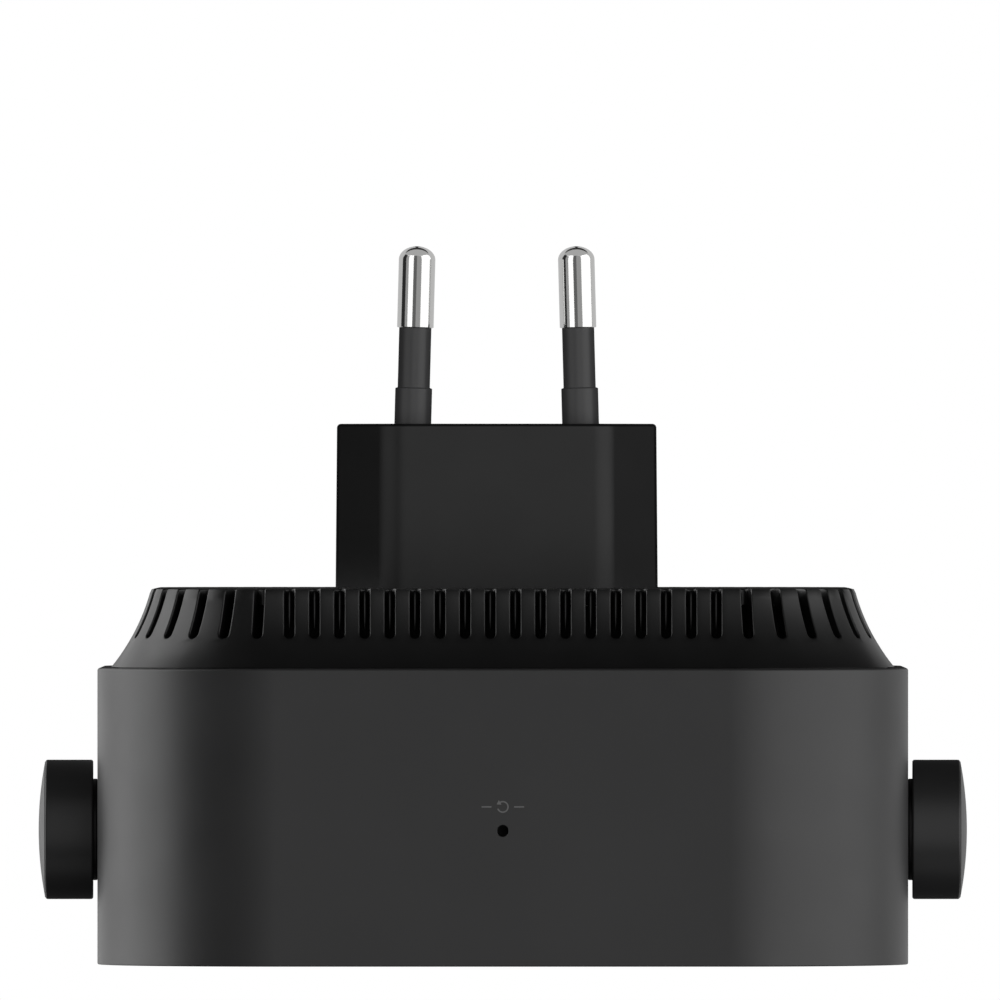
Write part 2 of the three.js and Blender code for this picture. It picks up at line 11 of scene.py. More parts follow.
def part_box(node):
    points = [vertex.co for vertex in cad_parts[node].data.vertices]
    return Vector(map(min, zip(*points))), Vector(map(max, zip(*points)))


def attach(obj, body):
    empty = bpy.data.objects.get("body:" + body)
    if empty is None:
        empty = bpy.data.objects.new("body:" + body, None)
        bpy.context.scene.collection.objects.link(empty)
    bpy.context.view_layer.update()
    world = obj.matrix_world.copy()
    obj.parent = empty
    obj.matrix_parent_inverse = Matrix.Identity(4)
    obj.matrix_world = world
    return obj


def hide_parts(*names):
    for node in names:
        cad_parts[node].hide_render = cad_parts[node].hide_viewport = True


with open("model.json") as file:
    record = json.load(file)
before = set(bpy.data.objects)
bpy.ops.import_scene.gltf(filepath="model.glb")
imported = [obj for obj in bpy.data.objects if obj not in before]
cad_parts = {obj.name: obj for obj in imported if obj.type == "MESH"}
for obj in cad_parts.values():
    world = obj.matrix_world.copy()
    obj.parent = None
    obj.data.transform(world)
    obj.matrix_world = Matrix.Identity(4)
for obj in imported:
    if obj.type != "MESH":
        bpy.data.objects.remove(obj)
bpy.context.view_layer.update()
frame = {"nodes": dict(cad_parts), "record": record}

MM = 0.001

# ---------- sizes, from the frame and a few driving dimensions ----------

band_low, band_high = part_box("housing_band")
shell_low, shell_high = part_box("rear_vent_shell")
cover_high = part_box("front_cover")[1]
liner_low, liner_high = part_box("vent_liner")

CENTRE_X = (band_low.x + band_high.x) / 2
HALF = (band_high.x - band_low.x) / 2
FRONT_Y = band_low.y
BAND_BACK_Y = band_high.y
SHELL_BACK_Y = shell_high.y
CORNER_CENTRE = 25 * MM
WALL = 2 * MM
INNER_HALF = HALF - WALL
CORNER_STEPS = 24

FLARE = {"half": 39.05 * MM, "lean": math.radians(14.5), "radius": 23 * MM, "edge": 0.45 * MM}
VENT = {
    "half_width": 0.55 * MM,
    "depth": 5.45 * MM,
    "on_back": 3 * MM,
    "sides": 18,
    "corners": 6,
    "corner_pitch": math.radians(13.7),
    "edge": 0.21 * MM,
}
BACK_PLATE = 1.8 * MM
SKIRT_WALL = 1.7 * MM

# ---------- mesh helpers ----------


def new_mesh(name, vertices, faces, sharp=35):
    """A mesh object: shared points merged, faces turned outwards, edges sharper than the angle kept crisp."""
    mesh = bpy.data.meshes.new(name)
    mesh.from_pydata([tuple(v) for v in vertices], [], faces)
    piece = bpy.data.objects.new(name, mesh)
    bpy.context.scene.collection.objects.link(piece)
    tidy_mesh(piece, sharp)
    return piece


def tidy_mesh(piece, sharp=35):
    work = bmesh.new()
    work.from_mesh(piece.data)
    bmesh.ops.remove_doubles(work, verts=work.verts, dist=2e-6)
    bmesh.ops.dissolve_degenerate(work, edges=work.edges, dist=1e-6)
    bmesh.ops.recalc_face_normals(work, faces=work.faces)
    for face in work.faces:
        face.smooth = True
    for edge in work.edges:
        angle = edge.calc_face_angle(0) if len(edge.link_faces) == 2 else math.pi
        edge.smooth = angle < math.radians(sharp)
    work.to_mesh(piece.data)
    work.free()


def weighted(piece):
    """Shades large flat faces flat and leaves the roundings between them smooth."""
    modifier = piece.modifiers.new("weighted", "WEIGHTED_NORMAL")
    modifier.mode = "FACE_AREA"
    modifier.weight = 100
    modifier.keep_sharp = True
    return piece


def rings_to_faces(count, rings, closed_loop=False, caps=True):
    """Quads between rings of matching points, listed ring after ring."""
    faces = []
    for ring in range(rings if closed_loop else rings - 1):
        here = ring * count
        there = ((ring + 1) % rings) * count
        for i in range(count):
            j = (i + 1) % count
            faces.append((here + i, here + j, there + j, there + i))
    if caps and not closed_loop:
        faces.append(tuple(reversed(range(count))))
        faces.append(tuple(range((rings - 1) * count, rings * count)))
    return faces


def loft(name, rings, closed_loop=False, caps=True, sharp=35):
    points = [point for ring in rings for point in ring]
    return new_mesh(name, points, rings_to_faces(len(rings[0]), len(rings), closed_loop, caps), sharp)


def turned(name, profile, to_world, segments=64, closed_loop=False, sharp=35):
    """A piece turned about an axis. The profile holds (radius, position) pairs; to_world places its points."""
    rings = []
    for radius, position in profile:
        ring = []
        for i in range(segments):
            angle = 2 * math.pi * i / segments
            ring.append(to_world @ Vector((radius * math.cos(angle), radius * math.sin(angle), position)))
        rings.append(ring)
    return loft(name, rings, closed_loop, caps=not closed_loop, sharp=sharp)


def arc(centre, radius, start, end, steps):
    """Points on an arc in a profile's plane, with angles in degrees."""
    points = []
    for i in range(steps + 1):
        angle = math.radians(start + (end - start) * i / steps)
        points.append((centre[0] + radius * math.cos(angle), centre[1] + radius * math.sin(angle)))
    return points


def rounded_square(half, y, steps=CORNER_STEPS):
    """The housing's outline at one depth: a rounded square about the shared corner centres."""
    radius = half - CORNER_CENTRE
    points = []
    for quarter in range(4):
        diagonal = math.radians(90 * quarter + 45)
        centre_x = math.copysign(CORNER_CENTRE, math.cos(diagonal))
        centre_z = math.copysign(CORNER_CENTRE, math.sin(diagonal))
        for step in range(steps + 1):
            angle = math.radians(90 * (quarter + step / steps))
            x = CENTRE_X + centre_x + radius * math.cos(angle)
            z = centre_z + radius * math.sin(angle)
            points.append(Vector((x, y, z)))
    return points


def cut(piece, *tools):
    """Cuts closed tool pieces out of a piece, and removes them."""
    for tool in tools:
        modifier = piece.modifiers.new("cut", "BOOLEAN")
        modifier.operation = "DIFFERENCE"
        modifier.solver = "EXACT"
        modifier.object = tool
    apply_modifiers(piece)
    for tool in tools:
        bpy.data.objects.remove(tool)
    tidy_mesh(piece)
    return piece


def apply_modifiers(piece):
    bpy.context.view_layer.update()
    evaluated = piece.evaluated_get(bpy.context.evaluated_depsgraph_get())
    mesh = bpy.data.meshes.new_from_object(evaluated)
    piece.modifiers.clear()
    piece.data = mesh


def join(name, pieces):
    """One object from several, with their meshes side by side."""
    work = bmesh.new()
    for piece in pieces:
        work.from_mesh(piece.data)
    mesh = bpy.data.meshes.new(name)
    work.to_mesh(mesh)
    work.free()
    for piece in pieces:
        bpy.data.objects.remove(piece)
    joined = bpy.data.objects.new(name, mesh)
    bpy.context.scene.collection.objects.link(joined)
    return joined


def dress(piece, material, body="root", stands_for=()):
    """Gives a new piece its material and body, and hides the CAD nodes that it stands for."""
    piece.data.materials.clear()
    piece.data.materials.append(material)
    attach(piece, body)
    if stands_for:
        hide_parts(*stands_for)
    return piece


# ---------- materials ----------


def new_material(name, colour, roughness, metallic=0.0, specular=0.5):
    """A principled material and the nodes that its details are built on."""
    material = bpy.data.materials.new(name)
    material.use_nodes = True
    tree = material.node_tree
    shader = tree.nodes["Principled BSDF"]
    shader.inputs["Base Color"].default_value = (*colour, 1)
    shader.inputs["Roughness"].default_value = roughness
    shader.inputs["Metallic"].default_value = metallic
    shader.inputs["Specular IOR Level"].default_value = specular
    return material, tree, shader


def noise(tree, scale, detail=2.0, roughness=0.5, stretch=None):
    """A noise pattern in object space, so that it stays with the piece."""
    coordinates = tree.nodes.new("ShaderNodeTexCoord")
    source = coordinates.outputs["Object"]
    if stretch:
        mapping = tree.nodes.new("ShaderNodeMapping")
        mapping.inputs["Scale"].default_value = stretch
        tree.links.new(source, mapping.inputs["Vector"])
        source = mapping.outputs["Vector"]
    texture = tree.nodes.new("ShaderNodeTexNoise")
    texture.inputs["Scale"].default_value = scale
    texture.inputs["Detail"].default_value = detail
    texture.inputs["Roughness"].default_value = roughness
    tree.links.new(source, texture.inputs["Vector"])
    return texture.outputs["Fac"]


def ramp(tree, source, low, high, start=0.3, end=0.7):
    """Maps a 0-1 pattern onto a range of values."""
    node = tree.nodes.new("ShaderNodeMapRange")
    node.inputs["From Min"].default_value = start
    node.inputs["From Max"].default_value = end
    node.inputs["To Min"].default_value = low
    node.inputs["To Max"].default_value = high
    tree.links.new(source, node.inputs["Value"])
    return node.outputs["Result"]


def two_colours(tree, source, dark, light):
    node = tree.nodes.new("ShaderNodeMix")
    node.data_type = "RGBA"
    node.inputs["A"].default_value = (*dark, 1)
    node.inputs["B"].default_value = (*light, 1)
    tree.links.new(source, node.inputs["Factor"])
    return node.outputs["Result"]


def bump(tree, shader, source, distance, strength=1.0, before=None):
    node = tree.nodes.new("ShaderNodeBump")
    node.inputs["Strength"].default_value = strength
    node.inputs["Distance"].default_value = distance
    tree.links.new(source, node.inputs["Height"])
    if before:
        tree.links.new(before, node.inputs["Normal"])
    tree.links.new(node.outputs["Normal"], shader.inputs["Normal"])
    return node.outputs["Normal"]


def moulded_plastic(name, tone, roughness, grain=0.35, specular=0.5):
    """Black ABS with a fine spark-eroded grain, slow changes of tone and slow changes of gloss."""
    colour = (tone, tone, tone * 1.02)
    material, tree, shader = new_material(name, colour, roughness, specular=specular)
    slow = noise(tree, 60, detail=3)
    fine = noise(tree, 9000, detail=1)
    medium = noise(tree, 2600, detail=2)
    shade = ramp(tree, slow, 0.0, 1.0)
    darker = tuple(c * 0.92 for c in colour)
    lighter = tuple(c * 1.08 for c in colour)
    tree.links.new(two_colours(tree, shade, darker, lighter), shader.inputs["Base Color"])
    gloss = ramp(tree, noise(tree, 140, detail=4), roughness - 0.025, roughness + 0.025)
    tree.links.new(gloss, shader.inputs["Roughness"])
    first = bump(tree, shader, fine, 0.004 * MM, grain)
    bump(tree, shader, medium, 0.006 * MM, grain, before=first)
    return material


def plated_metal(name, colour, roughness, scratch):
    """Bright plate with fine turning marks round the pin and a slight unevenness."""
    material, tree, shader = new_material(name, colour, roughness, metallic=1.0)
    marks = noise(tree, 1200, detail=2, stretch=(0.15, 6, 0.15))
    tree.links.new(ramp(tree, marks, roughness * 0.8, roughness * 1.3), shader.inputs["Roughness"])
    bump(tree, shader, marks, scratch, 0.5)
    return material


def sheet_metal(name, colour, roughness, stretch=(1, 8, 1)):
    material, tree, shader = new_material(name, colour, roughness, metallic=1.0)
    brushed = noise(tree, 500, detail=3, stretch=stretch)
    tree.links.new(ramp(tree, brushed, roughness * 0.75, roughness * 1.35), shader.inputs["Roughness"])
    bump(tree, shader, brushed, 0.004 * MM, 0.6)
    return material


def solder_mask(name):
    """A green circuit board with faint traces under the mask."""
    material, tree, shader = new_material(name, (0.012, 0.09, 0.035), 0.38)
    coordinates = tree.nodes.new("ShaderNodeTexCoord")
    traces = tree.nodes.new("ShaderNodeTexBrick")
    traces.inputs["Scale"].default_value = 260
    traces.inputs["Mortar Size"].default_value = 0.03
    traces.inputs["Color1"].default_value = (0.012, 0.09, 0.035, 1)
    traces.inputs["Color2"].default_value = (0.014, 0.11, 0.042, 1)
    traces.inputs["Mortar"].default_value = (0.03, 0.17, 0.07, 1)
    mapping = tree.nodes.new("ShaderNodeMapping")
    mapping.inputs["Rotation"].default_value = (math.pi / 2, 0, 0)
    tree.links.new(coordinates.outputs["Object"], mapping.inputs["Vector"])
    tree.links.new(mapping.outputs["Vector"], traces.inputs["Vector"])
    tree.links.new(traces.outputs["Color"], shader.inputs["Base Color"])
    bump(tree, shader, traces.outputs["Fac"], 0.02 * MM, 0.5)
    return material


def clear_guide(name):
    material, tree, shader = new_material(name, (0.62, 0.7, 0.72), 0.22)
    haze = noise(tree, 300, detail=3)
    tree.links.new(ramp(tree, haze, 0.16, 0.3), shader.inputs["Roughness"])
    tree.links.new(two_colours(tree, haze, (0.5, 0.58, 0.6), (0.68, 0.76, 0.78)), shader.inputs["Base Color"])
    return material


def plain_moulding(name, colour, roughness):
    """Insulation, component cases and cable jackets: a soft mottling and a light grain."""
    material, tree, shader = new_material(name, colour, roughness)
    mottle = noise(tree, 200, detail=4)
    darker = tuple(c * 0.85 for c in colour)
    lighter = tuple(min(1, c * 1.12) for c in colour)
    tree.links.new(two_colours(tree, mottle, darker, lighter), shader.inputs["Base Color"])
    bump(tree, shader, noise(tree, 3000, detail=2), 0.008 * MM, 0.4)
    return material


MATERIALS = {
    "band_plastic": moulded_plastic("band_plastic", 0.024, 0.42),
    "shell_plastic": moulded_plastic("shell_plastic", 0.004, 0.38),
    "antenna_plastic": moulded_plastic("antenna_plastic", 0.02, 0.42),
    "sleeve_plastic": moulded_plastic("sleeve_plastic", 0.075, 0.36, grain=0.15),
    "pin_metal": plated_metal("pin_metal", (0.86, 0.86, 0.85), 0.07, 0.001 * MM),
    "contact_metal": sheet_metal("contact_metal", (0.75, 0.52, 0.32), 0.3),
    "steel": sheet_metal("steel", (0.62, 0.63, 0.64), 0.3),
    "aluminium": sheet_metal("aluminium", (0.75, 0.76, 0.77), 0.35),
    "circuit_board": solder_mask("circuit_board"),
    "component_black": plain_moulding("component_black", (0.022, 0.022, 0.024), 0.5),
    "component_pale": plain_moulding("component_pale", (0.72, 0.7, 0.64), 0.6),
    "clear_plastic": clear_guide("clear_plastic"),
    "soft_grey": plain_moulding("soft_grey", (0.26, 0.28, 0.29), 0.75),
    "print_grey": plain_moulding("print_grey", (0.15, 0.15, 0.15), 0.6),
}


def dress_frame():
    """Every CAD node takes the material of its own slot. Pieces made below then replace some of them."""
    slots = {row["node"]: row["material_slot"] for row in frame["record"]["subparts"]}
    for name, node in frame["nodes"].items():
        node.data.materials.clear()
        node.data.materials.append(MATERIALS[slots[name]])


# ---------- camera, stage and light ----------


def make_camera():
    """Looks straight up at the underside with a long lens; the plug points up the picture."""
    frame_width = 111.1 * MM
    camera = bpy.data.cameras.new("camera")
    camera.lens = 1200
    camera.sensor_width = 36
    camera.clip_start = 0.5
    camera.clip_end = 60
    near_face = 22 * MM
    distance = camera.lens / camera.sensor_width * frame_width
    view = bpy.data.objects.new("camera", camera)
    aim = Vector((CENTRE_X + 0.31 * MM, -8.515 * MM, 0))
    view.location = aim + Vector((0, 0, -near_face - distance))
    view.rotation_euler = Matrix(((-1, 0, 0), (0, 1, 0), (0, 0, -1))).to_euler()
    bpy.context.scene.collection.objects.link(view)
    bpy.context.scene.camera = view


def make_floor():
    """A pale floor, far enough down to stay behind the camera that looks up."""
    size = 30
    points = [(-size, -size, 0), (size, -size, 0), (size, size, 0), (-size, size, 0)]
    floor = new_mesh("floor", [Vector(p) + Vector((0, 0, -6)) for p in points], [(0, 1, 2, 3)])
    material, _, _ = new_material("floor", (0.9, 0.9, 0.9), 0.8)
    floor.data.materials.append(material)
    floor.visible_diffuse = False
    floor.visible_glossy = False


def make_world():
    """White behind the object for the eye, and for its light a dim surround that brightens overhead."""
    world = bpy.data.worlds.new("studio")
    world.use_nodes = True
    tree = world.node_tree
    tree.nodes.clear()
    output = tree.nodes.new("ShaderNodeOutputWorld")
    mix = tree.nodes.new("ShaderNodeMixShader")
    path = tree.nodes.new("ShaderNodeLightPath")
    seen = tree.nodes.new("ShaderNodeBackground")
    seen.inputs["Color"].default_value = (1, 1, 1, 1)
    lighting = tree.nodes.new("ShaderNodeBackground")
    direction = tree.nodes.new("ShaderNodeTexCoord")
    parts = tree.nodes.new("ShaderNodeSeparateXYZ")
    height = tree.nodes.new("ShaderNodeMapRange")
    height.inputs["From Min"].default_value = 0.1
    height.inputs["From Max"].default_value = 0.9
    height.inputs["To Min"].default_value = 0.03
    height.inputs["To Max"].default_value = 0.05
    tree.links.new(direction.outputs["Generated"], parts.inputs["Vector"])
    tree.links.new(parts.outputs["Z"], height.inputs["Value"])
    tree.links.new(height.outputs["Result"], lighting.inputs["Strength"])
    tree.links.new(path.outputs["Is Camera Ray"], mix.inputs["Fac"])
    tree.links.new(lighting.outputs["Background"], mix.inputs[1])
    tree.links.new(seen.outputs["Background"], mix.inputs[2])
    tree.links.new(mix.outputs["Shader"], output.inputs["Surface"])
    bpy.context.scene.world = world
    bpy.context.scene.view_settings.view_transform = "Standard"


def softbox(name, azimuth, elevation, size, radiance, lit, shading, distance=2.5):
    """A soft panel that lights one group of pieces, and is shaded by another.

    The azimuth turns from straight below towards +X, the elevation rises towards +Y, the size is in degrees
    as seen from the object, and the radiance is the panel's own brightness.
    """
    azimuth, elevation = math.radians(azimuth), math.radians(elevation)
    direction = Vector((
        math.sin(azimuth) * math.cos(elevation),
        math.sin(elevation),
        -math.cos(azimuth) * math.cos(elevation),
    ))
    middle = Vector((CENTRE_X, -30 * MM, 0))
    light = bpy.data.lights.new(name, "AREA")
    light.shape = "RECTANGLE"
    light.size, light.size_y = (2 * distance * math.tan(math.radians(angle / 2)) for angle in size)
    light.energy = radiance * math.pi * light.size * light.size_y
    lamp = bpy.data.objects.new(name, light)
    lamp.location = middle + direction * distance
    forward = -direction
    side = Vector((0, 1, 0)).cross(-forward)
    side = side.normalized() if side.length > 0.01 else Vector((1, 0, 0))
    upward = (-forward).cross(side)
    lamp.rotation_euler = Matrix((side, upward, -forward)).transposed().to_euler()
    lamp.visible_camera = False
    lamp.light_linking.receiver_collection = lit
    lamp.light_linking.blocker_collection = shading
    bpy.context.scene.collection.objects.link(lamp)


def light_group(name, members):
    group = bpy.data.collections.new(name)
    for member in members:
        group.objects.link(member)
    return group


# Name, azimuth and elevation in degrees, width and height in degrees, radiance.
SOFTBOXES = {
    "body": [
        ("front", 0, 8, (30, 76), 0.5),
        ("low", 0, -60, (60, 30), 0.3),
        ("right_key", -60, 2, (90, 64), 1.6),
        ("right_back", -140, -6, (60, 53), 0.6),
        ("left_key", 97, 10, (55, 70), 2.5),
        ("left_back", 145, 5, (40, 70), 1),
    ],
    "cover": [
        ("cover_front", 0, -85, (60, 50), 0.4),
    ],
    "inside": [
        ("inside_front", 0, 0, (20, 60), 1.6),
    ],
    "plug": [
        ("plug_front", 0, 10, (40, 60), 0.75),
        ("plug_right", -54, 10, (58, 60), 1.1),
        ("plug_left", 55, 10, (50, 60), 0.6),
    ],
    "pins": [
        ("pin_right", -65, 0, (70, 90), 1.2),
        ("pin_front", -15, 0, (30, 90), 0.3),
        ("pin_middle", 10, 0, (20, 90), 0.1),
        ("pin_left", 37, 0, (32, 90), 1.2),
        ("pin_left_grey", 63, 0, (18, 90), 0.3),
        ("pin_back_right", -140, 0, (76, 90), 0.5),
        ("pin_back_left", 140, 0, (76, 90), 0.5),
        ("pin_top", 0, 80, (100, 70), 0.4),
    ],
}


def make_lights():
    """Every group has panels of its own but the hidden one, and the cover has one besides the body's."""
    pieces = [piece for piece in bpy.data.objects if piece.type == "MESH" and piece.name != "floor"]
    starts = {
        "plug": ("plug_block", "sleeve_skin", "pin_sleeve"),
        "pins": ("pin_skin", "plug_pin"),
        "inside": ("vent_rib",),
        "hidden": ("vent_liner", "reset_plunger"),
    }
    members = {}
    for group, start in starts.items():
        members[group] = [piece for piece in pieces if piece.name.startswith(start)]
    taken = [piece for group in members.values() for piece in group]
    members["body"] = [piece for piece in pieces if piece not in taken]
    members["cover"] = [piece for piece in pieces if piece.name.startswith("cover")]
    shading = light_group("shading", pieces)
    for group, boxes in SOFTBOXES.items():
        lit = light_group(group + "_light", members[group])
        for name, azimuth, elevation, size, radiance in boxes:
            softbox(name, azimuth, elevation, size, radiance, lit, shading)


# ---------- housing ----------


def hole_tool(name, radius, start, end, axis_turn, place, lip=None):
    """A round cutter. With a lip it opens out at its far end."""
    profile = [(radius, start), (radius, end)]
    if lip:
        profile = [(radius, start), (radius, end - lip), (radius + lip, end), (radius + lip, end + WALL)]
    return turned(name, profile, Matrix.Translation(place) @ axis_turn)


TO_X = Matrix.Rotation(math.pi / 2, 4, "Y")
TO_Y = Matrix.Rotation(-math.pi / 2, 4, "X")
TO_MINUS_Z = Matrix.Rotation(math.pi, 4, "X")


def make_band():
    edge = 0.3 * MM
    front_edge = 0.15 * MM
    cover_back = cover_seat()
    ledge_half = INNER_HALF - 1.6 * MM
    profile = [
        (HALF - front_edge, FRONT_Y),
        *arc((HALF - front_edge, FRONT_Y + front_edge), front_edge, -90, 0, 3)[1:],
        *arc((HALF - edge, BAND_BACK_Y - edge), edge, 0, 90, 5),
        (INNER_HALF, BAND_BACK_Y),
        (INNER_HALF, cover_back + 1.3 * MM),
        (ledge_half, cover_back + 1.3 * MM),
        (ledge_half, cover_back),
        (INNER_HALF, cover_back),
        (INNER_HALF, FRONT_Y + front_edge),
        (INNER_HALF + front_edge, FRONT_Y),
    ]
    band = loft("band_skin", [rounded_square(half, y) for half, y in profile], closed_loop=True)
    hinge = hinge_centre()
    through = (HALF - INNER_HALF) * 4
    bores = [
        hole_tool("bore", 4.9 * MM, -through, through, TO_X, Vector((CENTRE_X + side * HALF, hinge.y, hinge.z)))
        for side in (-1, 1)
    ]
    reset_low, reset_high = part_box("reset_plunger")
    reset_y = (reset_low.y + reset_high.y) / 2
    reset = hole_tool(
        "reset", 0.64 * MM, -2 * WALL, 0, TO_MINUS_Z, Vector((CENTRE_X, reset_y, -HALF)), lip=0.05 * MM
    )
    cut(band, *bores, reset)
    dress(weighted(band), MATERIALS["band_plastic"], stands_for=["housing_band"])


def cover_seat():
    """How far back the front cover's plate reaches; the band's ledge starts just behind it."""
    return FRONT_Y + 2.2 * MM


def hinge_centre():
    low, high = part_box("antenna_arm_right")
    half_width = (high.y - low.y) / 2
    return Vector((high.x, (low.y + high.y) / 2, low.z + half_width))


def make_cover():
    half = cover_high.x - CENTRE_X
    edge = 0.15 * MM
    back = cover_seat() - 0.1 * MM
    profile = [
        (CORNER_CENTRE + 0.5 * MM, FRONT_Y),
        *arc((half - edge, FRONT_Y + edge), edge, -90, 0, 3),
        (half, back),
        (CORNER_CENTRE + 0.5 * MM, back),
    ]
    cover = loft("cover_skin", [rounded_square(h, y) for h, y in profile])
    window_low, window_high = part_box("light_pipe")
    middle = Vector((CENTRE_X, FRONT_Y, (window_low.z + window_high.z) / 2))
    cut(cover, slot_tool("window", middle, 4 * MM, 1.1 * MM, 5 * MM))
    dress(weighted(cover), MATERIALS["band_plastic"], stands_for=["front_cover"])
    make_guide(middle)


def slot_outline(half_length, radius, steps=12):
    """A stadium as (x, z) pairs."""
    points = []
    for end in (1, -1):
        for i in range(steps + 1):
            angle = math.radians(-90 * end + 180 * i / steps)
            centre = end * (half_length - radius)
            points.append((centre + radius * math.cos(angle), radius * math.sin(angle)))
    return points


def slot_tool(name, middle, half_length, radius, reach):
    rings = []
    for y in (-reach - 1 * MM, reach + 1 * MM):
        rings.append([middle + Vector((x, y, z)) for x, z in slot_outline(half_length, radius)])
    return loft(name, rings)


def make_guide(middle):
    """The light guide: a rounded blade flush with the cover, and its flange and tail behind it."""
    low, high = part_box("light_pipe")
    rings = []
    for inset, y in ((0.12, FRONT_Y), (0.0, FRONT_Y + 0.12 * MM), (0.0, FRONT_Y + 2.3 * MM)):
        outline = slot_outline(3.75 * MM - inset * MM, 0.85 * MM - inset * MM)
        rings.append([Vector((middle.x + x, y, middle.z + z)) for x, z in outline])
    wide = slot_outline((high.x - low.x) / 2, (high.z - low.z) / 2)
    for y in (FRONT_Y + 2.3 * MM, FRONT_Y + 3.3 * MM):
        rings.append([Vector((middle.x + x, y, middle.z + z)) for x, z in wide])
    narrow = slot_outline(3.4 * MM, 0.8 * MM)
    for y in (FRONT_Y + 3.3 * MM, high.y):
        rings.append([Vector((middle.x + x, y, middle.z + z)) for x, z in narrow])
    piece = loft("light_guide", rings)
    dress(weighted(piece), MATERIALS["clear_plastic"], stands_for=["light_pipe"])


# ---------- flared rear shell with its slots ----------

FLARE_START_SINE = (math.sin(FLARE["lean"]) + FLARE["edge"] / FLARE["radius"]) / (
    1 + FLARE["edge"] / FLARE["radius"]
)
FLARE_START_LEAN = math.asin(FLARE_START_SINE)


def flare_half(y):
    sine = math.sin(FLARE["lean"]) + (SHELL_BACK_Y - y) / FLARE["radius"]
    return FLARE["half"] + FLARE["radius"] * (math.cos(FLARE["lean"]) - math.sqrt(1 - sine * sine))


def rim_geometry():
    """Where the rounded rim starts on the back face, and how long its arc is."""
    drop = FLARE["edge"] * (1 - FLARE_START_SINE)
    tangent_half = flare_half(SHELL_BACK_Y - drop)
    centre_half = tangent_half - FLARE["edge"] * math.cos(FLARE_START_LEAN)
    return centre_half, FLARE["edge"] * (math.pi / 2 - FLARE_START_LEAN)


RIM_HALF, RIM_LENGTH = rim_geometry()


def outer_profile(s):
    """A point (half, y) and its outward normal on the shell's outer profile, s along from the rim's start."""
    if s <= 0:
        return (RIM_HALF + s, SHELL_BACK_Y), (0.0, 1.0)
    edge = FLARE["edge"]
    if s <= RIM_LENGTH:
        angle = math.pi / 2 - s / edge
        normal = (math.cos(angle), math.sin(angle))
        return (RIM_HALF + edge * normal[0], SHELL_BACK_Y - edge + edge * normal[1]), normal
    lean = FLARE_START_LEAN + (s - RIM_LENGTH) / FLARE["radius"]
    y = SHELL_BACK_Y - FLARE["radius"] * (math.sin(lean) - math.sin(FLARE["lean"]))
    return (flare_half(y), y), (math.cos(lean), math.sin(lean))


def length_at_depth(depth):
    """The arc length at which the outer profile is that far below the back face."""
    sine = math.sin(FLARE["lean"]) + depth / FLARE["radius"]
    return RIM_LENGTH + FLARE["radius"] * (math.asin(sine) - FLARE_START_LEAN)


def inner_profile(s):
    """The matching point on the shell's inner surface."""
    (half, y), _ = outer_profile(s)
    inside_y = SHELL_BACK_Y - BACK_PLATE
    if s <= 0:
        return min(half, flare_half(inside_y) - 2.1 * MM), inside_y
    inner_y = min(y - 0.5 * MM, inside_y)
    return flare_half(inner_y) - 2.1 * MM, inner_y


def cells():
    """The slot cells round the housing in turning order: each one's corner or side, direction and reach.

    The two hinge sides have a slot in their middle and one at each end, where the corner starts.
    """
    pitch = 2 * CORNER_CENTRE / VENT["sides"]
    turn = VENT["corner_pitch"]
    first = math.pi / 2 - turn * VENT["corners"]
    for quarter in range(4):
        face = math.pi / 2 * quarter
        out, along = directions(face)
        hinge_side = quarter % 2 == 0
        count = VENT["sides"] + hinge_side
        for i in range(count):
            shift = (i - (count - 1) / 2) * pitch
            starts_corner = hinge_side and i == 0
            ends_corner = hinge_side and i == count - 1
            yield {
                "angle": face,
                "base": out * CORNER_CENTRE + along * shift,
                "low": turn / 2 if starts_corner else pitch / 2,
                "high": turn / 2 if ends_corner else pitch / 2,
                "low_is_round": starts_corner,
                "high_is_round": ends_corner,
            }
        for i in range(VENT["corners"]):
            yield {
                "angle": face + (turn * (i + 1) if hinge_side else first + turn * i),
                "base": (out + along) * CORNER_CENTRE,
                "low": first if i == 0 and not hinge_side else turn / 2,
                "high": first if i == VENT["corners"] - 1 and hinge_side else turn / 2,
                "low_is_round": True,
                "high_is_round": True,
            }


def directions(angle):
    """Outwards and along, in the plane of (x, z)."""
    out = Vector((math.cos(angle), math.sin(angle)))
    return out, Vector((-out.y, out.x))


def cell_across(cell, half, share):
    """How far across from the cell's middle a share of its reach lies, at a given distance out."""
    side = "high" if share > 0 else "low"
    if cell[side + "_is_round"]:
        return share * (half - CORNER_CENTRE) * math.sin(cell[side])
    return share * cell[side]


def cell_point(cell, half, y, across):
    """World place of a point in a cell: how far out, how deep, and how far across from the cell's middle."""
    radius = half - CORNER_CENTRE
    out, along = directions(cell["angle"])
    if cell["high_is_round" if across > 0 else "low_is_round"]:
        out, _ = directions(cell["angle"] + math.asin(max(-1.0, min(1.0, across / radius))))
        flat = cell["base"] + out * radius
    else:
        flat = cell["base"] + out * radius + along * across
    return Vector((CENTRE_X + flat.x, y, flat.y))


ACROSS_STEPS = [1.0, math.tan(math.radians(22.5)), 0.0, -math.tan(math.radians(22.5)), -1.0]


